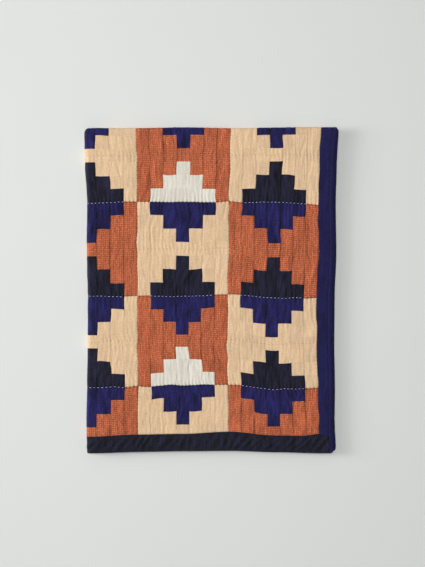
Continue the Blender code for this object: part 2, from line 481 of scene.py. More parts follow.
@dataclass(frozen=True)
class PatchChart:
    """Which cotton each patch is cut from: stepped triangles on a chequered ground."""

    sheet: Sheet

    def cotton(self, column: Grid, row: Grid) -> Grid:
        """The number of the cotton at places that are counted in patches.

        Args:
            column: patches from the upper side border.
            row: patches from the front border.

        Returns:
            The Cotton's value at each place.
        """
        block = self.sheet.block
        from_base = row - self.sheet.first_quilting
        block_row = np.floor(from_base / block).astype(int)
        block_column = np.floor(column / block).astype(int)
        course = np.floor(from_base).astype(int) % block
        off_centre = np.abs(np.floor(column).astype(int) % block - block // 2)
        reach = np.abs(course - block // 2) - 1
        rust_ground = (block_row + block_column) % 2 != 0
        ground = np.where(rust_ground, Cotton.RUST.value, Cotton.APRICOT.value)
        pale = rust_ground & (block_column % 2 == 1)
        upright = np.where(pale, Cotton.WHITE.value, Cotton.INK.value)
        motif = np.where(course < block // 2, upright, Cotton.INDIGO.value)
        return np.where(off_centre <= reach, motif, ground)

    def changes(self, column: Grid, row: Grid) -> Grid:
        """Whether the cotton changes at the row line that is nearest each place."""
        line = np.round(row - self.sheet.cut_row) + self.sheet.cut_row
        return self.cotton(column, line + 0.5) != self.cotton(column, line - 0.5)


@dataclass(frozen=True)
class Crease:
    """One of the main creases: a soft ridge or trough, straight, with faded ends.

    Attributes:
        start: x and y where it starts, in millimetres in the stack's footprint.
        end: x and y where it ends.
        height: of a ridge, or less than 0 for a trough, in millimetres.
        width: from its middle to its foot, in millimetres.
        fade: share of its length over which each end fades.
    """

    start: Pair
    end: Pair
    height: float
    width: float = 3.0
    fade: float = 0.3

    def at(self, x: Grid, y: Grid) -> Grid:
        """Its height in metres at places in the stack's footprint.

        Args:
            x: the places' x, in metres.
            y: the places' y.

        Returns:
            The height at each place, none away from the crease.
        """
        run_x, run_y = np.subtract(self.end, self.start)
        length = math.hypot(run_x, run_y)
        past_x = x / MM - self.start[0]
        past_y = y / MM - self.start[1]
        share = (past_x * run_x + past_y * run_y) / length**2
        aside = (past_x * run_y - past_y * run_x) / length
        ends = smooth(share / self.fade), smooth((1 - share) / self.fade)
        return self.height * MM * ends[0] * ends[1] * bell(aside, self.width)


MAIN_CREASES = (
    Crease((-283, 396), (-244, 282), -0.8, 3.5),
    Crease((-176, 446), (-197, 370), -0.7),
    Crease((-179, 336), (-181, 265), -0.9),
    Crease((-162, 370), (-157, 279), 0.9),
    Crease((-248, 14), (-223, 57), -0.9, 2.5),
    Crease((-224, -135), (-212, -115), -0.6),
    Crease((-281, -346), (-257, -316), -1.2, 2.5),
    Crease((-319, -366), (-300, -350), 0.9, 2.5),
    Crease((-303, -353), (-302, -381), -0.8, 2.5),
    Crease((67, 214), (62, 106), -1.1),
    Crease((62, 125), (59, 1), -0.9),
    Crease((79, 169), (79, 61), 1.0),
    Crease((276, 222), (277, 123), -0.8),
    Crease((290, 98), (297, 52), 1.1),
    Crease((298, 64), (284, 21), 1.0),
    Crease((247, -410), (272, -388), 1.0, 2.5),
    Crease((261, -415), (289, -393), 0.8, 2.5),
    Crease((241, -390), (278, -356), 0.5, 2.5),
    Crease((171, -441), (187, -418), 0.9, 2.5),
    Crease((235, -442), (264, -418), 1.2, 2.5),
    Crease((303, -446), (320, -421), 1.0, 2.5),
)


@dataclass(frozen=True)
class Relief:
    """What stands up and sinks in on the pieced side, at places on the flat cloth.

    Attributes:
        across: the places over the cloth's width.
        along: the places over its length.
        seam_depth: depth of a pressed seam.
        pale_seams: shares of that depth in apricot and in white cotton.
        course_share: share of that depth between the courses of a block.
        block_depth: how much deeper a seam between two blocks is.
        side_depth: the same for the side border's seam, as end_depth is for the end border's.
        pillow: how far a patch stands up in its middle.
        allowance: how far the seam allowance under one side of a seam lifts the cloth.
        quilting_depth: how far a row of running stitches pulls the cloth down.
        row_sink: depth of the broad hollow that the row lies in.
        pucker: height of the small ridges between the stitches of a row.
        middle_row_share: share of that in the rows through the middle of the blocks.
        wrinkle: height of the long creases between the rows.
        wave: height of the broad unevenness of the folded stack.
        border_lean: how the end border's puckers lean, in degrees.
    """

    sheet: Sheet
    chart: PatchChart
    across: Grid
    along: Grid
    seam_depth: float = 0.4 * MM
    seam_width: float = 2.1 * MM
    pale_seams: Pair = (0.45, 0.3)
    course_share: float = 0.5
    block_depth: float = 0.5 * MM
    block_width: float = 1.9 * MM
    side_depth: float = 0.7 * MM
    end_depth: float = 0.4 * MM
    border_seam_width: float = 2.0 * MM
    binding_depth: float = 0.35 * MM
    binding_width: float = 1.4 * MM
    pillow: float = 0.2 * MM
    allowance: float = 0.25 * MM
    quilting_depth: float = 1.1 * MM
    quilting_width: float = 2.4 * MM
    row_sink: float = 0.8 * MM
    row_sink_width: float = 11 * MM
    pucker: float = 0.6 * MM
    pucker_reach: float = 15 * MM
    middle_row_share: float = 0.55
    wrinkle: float = 0.62 * MM
    wave: float = 0.8 * MM
    border_pucker: float = 1.0 * MM
    border_pucker_pitch: float = 20.0 * MM
    border_lean: float = 56.0

    @property
    def column(self) -> Grid:
        """Each place counted in patches from the upper side border."""
        return (self.across - self.sheet.frame_width) / self.sheet.patch

    @property
    def to_seam(self) -> Grid:
        """How far each place is past the nearest seam between two columns of patches."""
        return (self.column - np.round(self.column)) * self.sheet.patch

    def _rough(self, size_mm: Pair, seed: int, shift: Grid | float = 0.0) -> Grid:
        """Uneven heights of a size across and along the cloth, which a shift can slant."""
        across = self.across / (size_mm[0] * MM) + shift
        return uneven(across, self.along / (size_mm[1] * MM), seed)

    def _quilting(self) -> tuple[Grid, Grid, Grid]:
        """Finds the nearest row of running stitches.

        Returns:
            The row's number, how far past it each place is, and where the place is in its
            stitches, as an angle: a stitch's middle is at pi, a gap's at 0.
        """
        sheet = self.sheet
        row = (self.along - sheet.end_border) / sheet.patch - sheet.first_quilting
        count = np.round(np.clip(row / sheet.quilting_step, 0, None))
        turn = 2 * math.pi * self.across / sheet.stitch_pitch + sheet.stitch_shift * count
        return count, (row - count * sheet.quilting_step) * sheet.patch, turn

    def ditch(self, seams: float = 1.0, blocks: float = 1.0, rows: float = 1.0) -> Grid:
        """How deep the sewn lines draw the cloth in.

        Args:
            seams: how much the seams between patches count.
            blocks: how much more the seams between blocks count.
            rows: how much the rows of quilting count.

        Returns:
            The depth at each place.
        """
        sheet, across, along, column = self.sheet, self.across, self.along, self.column
        row = (along - sheet.end_border) / sheet.patch
        cotton = self.chart.cotton(column, row)
        softness = np.where(cotton == Cotton.WHITE.value, self.pale_seams[1], 1.0)
        softness = np.where(cotton == Cotton.APRICOT.value, self.pale_seams[0], softness)
        strength = 0.7 + 0.6 * uneven(np.round(column) * 3.7, along / (55 * MM), 15)
        strength = seams * np.clip(strength, 0.15, None) * softness
        depth = self.seam_depth * strength * bell(self.to_seam, self.seam_width)

        from_cut = row - sheet.cut_row
        to_course = (from_cut - np.round(from_cut)) * sheet.patch
        course = bell(to_course, self.seam_width) * self.chart.changes(column, row)
        depth = depth + self.course_share * self.seam_depth * course

        count, to_row, turn = self._quilting()
        held = np.where(count % 2 == 0, 1.0, 0.5) * (0.65 - 0.35 * np.cos(turn))
        depth = depth + rows * self.quilting_depth * held * bell(to_row, self.quilting_width)

        block = sheet.block * sheet.patch
        past = across - sheet.frame_width
        to_block = past - np.round(past / block) * block
        depth = depth + blocks * self.block_depth * bell(to_block, self.block_width)

        binding = self.binding_depth * bell(across - sheet.side_binding, self.binding_width)
        for past, more, inside in (
            (across - sheet.frame_width, self.side_depth, across < sheet.frame_width),
            (sheet.end_border - along, self.end_depth, along < sheet.end_border),
        ):
            border = (self.seam_depth + more) * bell(past, self.border_seam_width) + binding
            depth = np.where(inside, border, depth)
        return np.where(across < sheet.side_binding, binding, depth)

    def _creases(self) -> Grid:
        """The long uneven creases that quilting by hand draws up.

        Returns:
            Heights from about -1 to 1.
        """
        lean = self._rough((70, 60), 12) + 0.4 * self._rough((24, 30), 13)
        fine = self._rough((4.6, 21), 5, 2.2 * lean)
        broad = self._rough((11, 45), 14, 1.2 * lean)
        slanting = self._rough((8, 30), 16, self.along / (26 * MM))
        return fine + 0.8 * broad + 0.6 * slanting

    def _patchwork(self) -> Grid:
        """The soft relief of the patchwork between its sewn lines.

        Returns:
            The height at each place.
        """
        share = self.column - np.floor(self.column)
        height = self.pillow * (1 - np.abs(2 * share - 1) ** 4)
        seam, width, edge = 1.2 * MM, 5 * MM, 2 * MM
        under = smooth(self.to_seam / seam) * (1 - smooth((self.to_seam - width) / edge))
        height = height + self.allowance * under
        return height - self.row_sink * bell(self._quilting()[1], self.row_sink_width)

    def _puckers(self) -> Grid:
        """The puckers that the rows of stitches draw up, and the creases between the rows.

        Returns:
            The height at each place.
        """
        count, to_row, turn = self._quilting()
        near_row = np.exp(-np.abs(to_row) / self.pucker_reach)
        wander = (0.7 + 2.0 * (1 - near_row)) * self._rough((27, 24), 3)
        slant = to_row / (6 * MM) * self._rough((60, 70), 19)
        strength = 1 + 0.6 * self._rough((21, 45), 4)
        strength = strength * np.where(count % 2 == 0, 1.0, self.middle_row_share)
        height = self.pucker * near_row * strength * np.cos(turn + wander + slant)
        return height + self.wrinkle * (1 - 0.6 * near_row) * self._creases()

    def _side_border(self) -> Grid:
        """The long soft ridges of the side border."""
        height = 0.4 * MM * self._rough((8, 26), 6, self.along / (40 * MM))
        return height + 0.25 * MM * self._rough((14, 15), 20)

    def _end_border(self) -> Grid:
        """The slanting puckers of the front border.

        Returns:
            The height at each place.
        """
        lean = math.radians(self.border_lean)
        run = self.across * math.sin(lean) + self.along * math.cos(lean)
        wander = 4.0 * uneven(run / (44 * MM), self.along / (50 * MM), 7)
        strength = 0.45 + 0.55 * self._rough((38, 60), 8)
        inside = np.sin(math.pi * np.clip(self.along / self.sheet.end_border, 0.0, 1.0)) ** 0.6
        turn = 2 * math.pi * run / self.border_pucker_pitch + wander
        narrow = 0.7 * uneven(run / (7 * MM), self.along / (24 * MM), 17)
        upright = 0.45 * self._rough((4.5, 20), 18)
        return self.border_pucker * inside * (strength * np.cos(turn) + narrow + upright)

    def shown(self) -> Grid:
        """1 on the layer that shows, less at its edges, 0 past the turn of each fold.

        Returns:
            The share of the relief that each place has.
        """
        past_side_fold = (self.across - self.sheet.upper_run) / self.sheet.side_fold_run
        past_back_fold = (self.along - self.sheet.outer_run) / self.sheet.back_fold_run
        share = 0.3 + 0.7 * smooth(np.minimum(self.across, self.along) / (8 * MM))
        for past in (past_side_fold, past_back_fold):
            share = share * (1 - smooth((past - 0.3) / 0.35))
        return share

    def ridge(self) -> Grid:
        """The small ridges of every piece; the cottons paint their tops paler, partly as wear and
        partly as sheen.

        Returns:
            The height at each place.
        """
        sheet = self.sheet
        height = np.where(self.across < sheet.frame_width, self._side_border(), self._puckers())
        height = np.where(self.along < sheet.end_border, self._end_border(), height)
        x = sheet.upper_edge_x - self.across
        y = sheet.outer_edge_y + self.along
        height = height + sum(crease.at(x, y) for crease in MAIN_CREASES)
        binding = 0.2 * MM * self._rough((4, 9), 9)
        return np.where(self.across < sheet.side_binding, binding, height)

    def height(self) -> Grid:
        """How far the pieced side stands above its plain surface.

        Returns:
            The height at each place, none on the hidden layers and on the underside.
        """
        sheet = self.sheet
        inside = (self.across >= sheet.frame_width) & (self.along >= sheet.end_border)
        height = np.where(inside, self._patchwork(), 0.0) + self.ridge()
        rolled = 0.6 * MM * bell(self.across - 4.5 * MM, 2.6 * MM)
        height = np.where(self.across < sheet.side_binding, height + rolled, height)
        height = height + self.wave * self._rough((85, 110), 1)
        height = height + 0.5 * self.wave * self._rough((40, 55), 2)
        return (height - self.ditch()) * self.shown()


@dataclass(frozen=True)
class Lines:
    """The lines where the meshes have points: close together where the cloth is seen.

    Shares are of the strip's or the patch's own width, and counts are of lines in between.
    """

    sheet: Sheet
    binding_shares: tuple[float, ...] = (0, 0.03, 0.08, 0.15, 0.25, 0.4, 0.6, 0.8, 0.92, 1)
    seam_shares: tuple[float, ...] = (0, 0.03, 0.075, 0.925, 0.97)
    course_shares: tuple[float, ...] = (0, 0.045, 0.2, 0.4, 0.6, 0.8, 0.955)
    quilting_shares: tuple[float, ...] = (-0.045, 0, 0.045)
    end_shares: tuple[float, ...] = (0, 0.008, 0.02, 0.04, 0.07, 0.11, 0.16)
    border_count: int = 19
    patch_count: int = 17
    end_count: int = 10
    side_fold_count: int = 21
    back_fold_count: int = 15

    def across(self) -> Grid:
        """Lays out every line over the cloth's width.

        Returns:
            The lines' places, in order.
        """
        sheet = self.sheet
        lines = [share * sheet.side_binding for share in self.binding_shares]
        lines += [sheet.width - line for line in lines]
        lines += list(sheet.side_binding + np.linspace(0, 1, self.border_count) * sheet.side_border)
        hidden_border = sheet.width - sheet.frame_width
        lines += [hidden_border, hidden_border + 0.5 * sheet.side_border]
        patch_shares = [*self.seam_shares, *np.linspace(0.12, 0.88, self.patch_count)]
        shown = (sheet.upper_run - sheet.frame_width) / sheet.patch
        lines += [
            sheet.column_line(column + share)
            for column in range(sheet.columns)
            for share in (patch_shares if column < shown else (0,))
            if column + share < shown - 0.05 or column > shown
        ]
        fold = np.linspace(0, 1, self.side_fold_count) * sheet.side_fold_run
        return np.unique(np.round(lines + list(sheet.upper_run + fold), 7))

    def along(self) -> Grid:
        """Lays out every line over the cloth's length.

        Returns:
            The lines' places, in order.
        """
        sheet = self.sheet
        lines = [share * sheet.end_border for share in self.end_shares]
        lines += [sheet.length - line for line in lines]
        lines += list(np.linspace(self.end_shares[-1], 0.94, self.end_count) * sheet.end_border)
        lines += [0.975 * sheet.end_border, sheet.end_border, sheet.length - sheet.end_border]
        shown = (sheet.outer_run - sheet.end_border) / sheet.patch
        for course in [number + sheet.cut_row for number in range(-1, math.ceil(sheet.rows))]:
            shares = self.course_shares if course < shown else (0,)
            quilted = (course + 0.5 - sheet.first_quilting) / sheet.quilting_step % 1 == 0
            if quilted and course < shown:
                shares = (*shares, *[0.5 + share for share in self.quilting_shares])
            for row in [course + share for share in shares]:
                beside_fold = shown - 0.02 <= row <= shown + 0.5
                if 0.01 < row < sheet.rows - 0.01 and not beside_fold:
                    lines.append(sheet.row_line(row))
        fold = np.linspace(0, 1, self.back_fold_count) * sheet.back_fold_run
        return np.unique(np.round(lines + list(sheet.outer_run + fold), 7))


def add_object(name: str, data: bpy.types.ID) -> bpy.types.Object:
    """Adds an object to the scene.

    Args:
        name: its name.
        data: its mesh, light or camera.

    Returns:
        The object.
    """
    made = bpy.data.objects.new(name, data)
    bpy.context.scene.collection.objects.link(made)
    return made


def add_mesh(
    name: str, points: list, faces: list, materials: list[bpy.types.Material]
) -> bpy.types.Object:
    """Adds a smoothly shaded mesh to the scene.

    Args:
        name: its name.
        points: x, y and z of its points.
        faces: the numbers of each face's points.
        materials: its materials, in order.

    Returns:
        The object.
    """
    mesh = bpy.data.meshes.new(name)
    mesh.from_pydata(points, [], faces)
    mesh.update()
    mesh.shade_smooth()
    for material in materials:
        mesh.materials.append(material)
    return add_object(name, mesh)


def add_node(tree: Tree, kind: str, inputs: dict | None = None, **settings: Any) -> bpy.types.Node:
    """Adds a node with its settings and links.

    Args:
        tree: the node tree to add it to.
        kind: the node's type.
        inputs: for a socket's name or number, a value or the socket that feeds it.
        **settings: the node's own settings.

    Returns:
        The node.
    """
    node = tree.nodes.new(kind)
    for name, value in settings.items():
        setattr(node, name, value)
    for socket, value in (inputs or {}).items():
        if isinstance(value, bpy.types.NodeSocket):
            tree.links.new(value, node.inputs[socket])
        else:
            node.inputs[socket].default_value = value
    return node


def add_material(name: str, values: dict[str, float]) -> tuple[bpy.types.Material, bpy.types.Node]:
    """Makes a material with a plain shader.

    Args:
        name: the material's name.
        values: for a socket's name on the shader, its value.

    Returns:
        The material and its shader.
    """
    made = bpy.data.materials.new(name)
    made.use_nodes = True
    shader = made.node_tree.nodes["Principled BSDF"]
    for socket, value in values.items():
        shader.inputs[socket].default_value = value
    return made, shader


@dataclass(frozen=True)
class ClothPattern:
    """Patterns on the flat cloth, in a material's node tree.

    Attributes:
        tree: the node tree.
        flat: the socket that gives each place's across and along.
    """

    tree: Tree
    flat: Socket

    def noise(
        self, size_mm: Pair, read: Pair | None = None, give: Pair = (0, 1), detail: float = 3.0
    ) -> Socket:
        """A noise whose features have a size across and along the cloth.

        Args:
            size_mm: the features' size across and along.
            read: where in the noise the least and the most are read, or None to read it plain.
            give: the least and the most that are given for them.
            detail: how many finer layers the noise has.

        Returns:
            The noise, from 0 to 1 where it is plain.
        """
        scale = (1 / (size_mm[0] * MM), 1 / (size_mm[1] * MM), 1.0)
        place = add_node(self.tree, "ShaderNodeMapping", {"Vector": self.flat, "Scale": scale})
        layers = {"Vector": place.outputs[0], "Scale": 1.0, "Detail": detail, "Roughness": 0.6}
        noise = add_node(self.tree, "ShaderNodeTexNoise", layers, noise_dimensions="2D")
        if read is None:
            return noise.outputs["Fac"]
        limits = dict(enumerate((noise.outputs["Fac"], *read, *give)))
        return add_node(self.tree, "ShaderNodeMapRange", limits).outputs[0]

    def lines(self, spacing_mm: float, direction: str) -> Socket:
        """A wave from 0 to 1 with one crest for each thread, stitch or line of a check."""
        wave = {"Vector": self.flat, "Scale": math.pi / (10 * spacing_mm * MM), "Distortion": 0.0}
        return add_node(self.tree, "ShaderNodeTexWave", wave, bands_direction=direction).outputs[1]

    def dip_shades(self, reach: float) -> Socket:
        """Painted shade for the dips, a stitch apart, that hand sewing leaves down the seams
        between blocks.

        Args:
            reach: how far a dip reaches from its seam.

        Returns:
            How much painted shade each place gets, from 0 to 1.
        """
        sheet, tree = Sheet(), self.tree
        place = add_node(tree, "ShaderNodeSeparateXYZ", {"Vector": self.flat})
        half = sheet.block * sheet.patch / 2
        first_row = sheet.end_border + sheet.first_quilting * sheet.patch
        dark = []
        for axis, start, direction in (("X", sheet.frame_width, "Y"), ("Y", first_row, "X")):
            past = {0: place.outputs[axis], 1: start}
            past = add_node(tree, "ShaderNodeMath", past, operation="SUBTRACT").outputs[0]
            to_seam = add_node(tree, "ShaderNodeMath", {0: past, 1: half}, operation="PINGPONG")
            stitch = {0: self.lines(sheet.stitch_pitch / MM, direction), 1: reach}
            foot = add_node(tree, "ShaderNodeMath", stitch, operation="MULTIPLY").outputs[0]
            fall = {0: to_seam.outputs[0], 1: 0.0, 2: foot, 3: 1.0, 4: 0.0}
            fall = add_node(tree, "ShaderNodeMapRange", fall, interpolation_type="SMOOTHSTEP")
            dark.append(fall.outputs[0])
        darkest = add_node(tree, "ShaderNodeMath", dict(enumerate(dark)), operation="MAXIMUM")
        return darkest.outputs[0]


@dataclass(frozen=True)
class WovenCotton:
    """Plain-woven cotton: matt, finely ribbed by its threads, a little uneven in its dye.

    Attributes:
        name: the material's name.
        main: sRGB colour of most of its threads.
        streak: sRGB colour of the uneven threads that run along the cloth.
        check: sRGB colour of the fine check's lines, or None for a plain cloth.
        streak_share: how far the streaks take the colour.
        painted_groove_shade: painted shade: how much darker a seam or a row of stitches is painted
            at its bottom.
        ridge_wear_and_sheen: how much paler the tops of ridges are painted, and how much darker the
            cloth between them: partly wear, partly painted sheen and shade.
        grain: how far single thick and thin threads lighten and darken the cloth.
        dip_shade: painted shade: how dark the stitches' dips are painted along the seams between
            the blocks.
        dip_shade_mm: how far that painted shade reaches from the seam.
        blotch: how far the dye's blotches lighten and darken the cloth.
        check_shares: how far the check's lines that run along and across take its colour.
        worn_mm: size of the places where the check's lines have worn faded.
    """

    name: str
    main: str
    streak: str
    check: str | None = None
    streak_share: float = 0.8
    painted_groove_shade: float = 0.45
    ridge_wear_and_sheen: float = 0.0
    grain: float = 0.05
    dip_shade: float = 0.0
    dip_shade_mm: float = 3.4
    blotch: float = 0.16
    check_shares: Pair = (0.55, 0.8)
    worn_mm: Pair = (5.0, 3.5)
    thread_mm: float = 0.9  # real threads are 0.4 mm apart, too fine to show here
    streak_mm: Pair = (5.0, 80.0)
    blotch_mm: Pair = (28.0, 28.0)
    grain_mm: Pair = (3.6, 4.4)  # real slubs are 1 mm wide, less than the photograph resolves
    fuzz_mm: Pair = (2.4, 3.2)
    check_mm: float = 5.4
    roughness: float = 0.92
    sheen: float = 0.12
    specular: float = 0.25

    def material(self) -> bpy.types.Material:
        """Makes the material, once, which reads the cloth's own across and along.

        Returns:
            The material.
        """
        made = bpy.data.materials.get(self.name)
        if made:
            return made
        values = {"Sheen Weight": self.sheen, "Specular IOR Level": self.specular}
        made, shader = add_material(self.name, {"Roughness": self.roughness, **values})
        tree = made.node_tree
        flat = add_node(tree, "ShaderNodeUVMap", uv_map="cloth").outputs["UV"]
        pattern = ClothPattern(tree, flat)
        tree.links.new(self._colour(pattern), shader.inputs["Base Color"])
        tree.links.new(self._threads(pattern), shader.inputs["Normal"])
        return made

    def _colour(self, pattern: ClothPattern) -> Socket:
        """Streaked, blotched dye, with painted shade in seams and dips, and worn, sheen-painted
        ridges.

        Args:
            pattern: the patterns of the cloth.

        Returns:
            The cloth's colour.
        """
        tree = pattern.tree
        share = pattern.noise(self.streak_mm, (0.35, 0.68), (0.0, self.streak_share))
        colours = {0: share, 6: linear(self.main), 7: linear(self.streak)}
        colour = add_node(tree, "ShaderNodeMix", colours, data_type="RGBA").outputs[2]
        for direction, most in zip(("X", "Y"), self.check_shares if self.check else ()):
            line = {0: pattern.lines(self.check_mm, direction), 1: 2.0}
            line = add_node(tree, "ShaderNodeMath", line, operation="POWER").outputs[0]
            worn = pattern.noise(self.worn_mm, (0.38, 0.62), (0.15 * most, most))
            share = add_node(tree, "ShaderNodeMath", {0: line, 1: worn}, operation="MULTIPLY")
            colours = {0: share.outputs[0], 6: colour, 7: linear(self.check)}
            colour = add_node(tree, "ShaderNodeMix", colours, data_type="RGBA").outputs[2]

        tint, crease, ridge = (
            add_node(tree, "ShaderNodeAttribute", attribute_name=name).outputs["Fac"]
            for name in ("patch_tint", "crease", "ridge")
        )
        shares = [
            (pattern.noise(self.blotch_mm), self.blotch),
            (tint, 1.0),
            (pattern.noise(self.grain_mm, (0.3, 0.7), (-self.grain, self.grain), 0.5), 1.0),
            # painted shade: darker down in the seams and the rows of stitches, by their depth
            (crease, -self.painted_groove_shade),
            # partly wear, partly painted sheen and shade: ridge tops paler, hollows darker
            (ridge, self.ridge_wear_and_sheen),
        ]
        # painted shade at the stitches' dips down the seams between blocks
        if self.dip_shade:
            shares.append((pattern.dip_shades(self.dip_shade_mm * MM), -self.dip_shade))
        value: Socket | float = 1.0 - self.blotch / 2
        for source, weight in shares:
            parts = {0: source, 1: weight, 2: value}
            value = add_node(tree, "ShaderNodeMath", parts, operation="MULTIPLY_ADD").outputs[0]
        dyed = add_node(tree, "ShaderNodeHueSaturation", {"Value": value, "Color": colour})
        return dyed.outputs["Color"]

    def _threads(self, pattern: ClothPattern) -> Socket:
        """The weave's fine ribs and the fuzz over them.

        Args:
            pattern: the patterns of the cloth.

        Returns:
            The surface's normal.
        """
        tree = pattern.tree
        warp, weft = (pattern.lines(self.thread_mm, direction) for direction in ("X", "Y"))
        weave = add_node(tree, "ShaderNodeMath", {0: warp, 1: weft}, operation="ADD").outputs[0]
        height = {0: pattern.noise(self.fuzz_mm), 1: 6.0, 2: weave}
        height = add_node(tree, "ShaderNodeMath", height, operation="MULTIPLY_ADD").outputs[0]
        bump = {"Strength": 0.35, "Distance": 0.25 * MM, "Height": height}
        return add_node(tree, "ShaderNodeBump", bump).outputs["Normal"]


COTTONS: dict[Cotton, WovenCotton] = {
    # Dyed in the piece and washed soft: pale and even, so its seams get little painted shade.
    Cotton.APRICOT: WovenCotton(
        "apricot_plain_cotton", "#e4c4a0", "#d8b68d", None, 0.7, painted_groove_shade=0.15, grain=0.065, dip_shade=0.36
    ),
    # Woven from yarns of two colours: a fine check, worn faded in places.
    Cotton.RUST: WovenCotton(
        "rust_check_cotton",
        "#ae4c2a",
        "#9a4327",
        "#da8b64",
        0.75,
        painted_groove_shade=1.0,
        ridge_wear_and_sheen=0.26,
        grain=0.12,
        dip_shade=0.35,
        streak_mm=(4.0, 26.0),
    ),
    # Dipped in indigo, which stays near the yarn's outside: ridges rub to a brighter blue, with
    # painted sheen and shade.
    Cotton.INDIGO: WovenCotton(
        "indigo_plain_cotton", "#1f1d52", "#161446", painted_groove_shade=0.9, ridge_wear_and_sheen=0.75, grain=0.35, dip_shade=0.4
    ),
    # Dyed nearly black: its creases show only as pale ridges, partly worn and dusty, partly painted
    # sheen, with painted shade between.
    Cotton.INK: WovenCotton(
        "ink_plain_cotton", "#1c1b2f", "#141325", painted_groove_shade=0.8, ridge_wear_and_sheen=0.95, grain=0.35
    ),
    # Bleached and never dyed: warm white, with grey slubs and clear painted shade at its stitches'
    # dips.
    Cotton.WHITE: WovenCotton(
        "white_plain_cotton", "#e3ded1", "#d5d0c0", None, 0.6, painted_groove_shade=0.1, grain=0.04, dip_shade=0.55
    ),
}
# The borders' cottons are the same two dyes on a cloth that lies flatter, so less wear, painted
# sheen and painted shade.
BORDER_INDIGO = WovenCotton(
    "indigo_border_cotton", "#1b194c", "#15133e", painted_groove_shade=0.5, ridge_wear_and_sheen=0.5, grain=0.25
)
BORDER_INK = WovenCotton("ink_border_cotton", "#1a192b", "#12111f", painted_groove_shade=0.5, ridge_wear_and_sheen=0.85, grain=0.5)


@dataclass(frozen=True)
class CottonThread:
    """Quilting thread: spun and twisted cotton, so a matt line with fine slanting ridges, with
    painted shade between them.

    Attributes:
        name: the material's name.
        colour: its sRGB colour.
        twist_mm: from one ridge of the twist to the next.
        furrow_shade: painted shade: how dark the thread is painted between two ridges.
    """

    name: str = "undyed_quilting_thread"
    colour: str = "#d0d2fb"
    twist_mm: float = 1.1  # real thread turns in 0.5 mm, too fine to show here
    furrow_shade: float = 0.8

    def material(self) -> bpy.types.Material:
        """Makes the material.

        Returns:
            The material.
        """
        made, shader = add_material(self.name, {"Roughness": 0.8, "Specular IOR Level": 0.3})
        tree = made.node_tree
        place = add_node(tree, "ShaderNodeTexCoord").outputs["Object"]
        wave = {"Vector": place, "Scale": math.pi / (10 * self.twist_mm * MM), "Distortion": 0.0}
        twist = add_node(tree, "ShaderNodeTexWave", wave, bands_direction="DIAGONAL").outputs["Fac"]
        # Painted shade: the twist's furrows are a darker colour; the thread has no bump.
        top = linear(self.colour)
        darker = [share * self.furrow_shade for share in top[:3]] + [1.0]
        colour = add_node(tree, "ShaderNodeMix", {0: twist, 6: darker, 7: top}, data_type="RGBA")
        tree.links.new(colour.outputs[2], shader.inputs["Base Color"])
        return made


def cells(numbers: Grid) -> Grid:
    """The four points of each cell in a grid of points, as the pieced side has them."""
    corners = (numbers[:-1, :-1], numbers[:-1, 1:], numbers[1:, 1:], numbers[1:, :-1])
    return np.stack(corners, axis=-1).reshape(-1, 4)


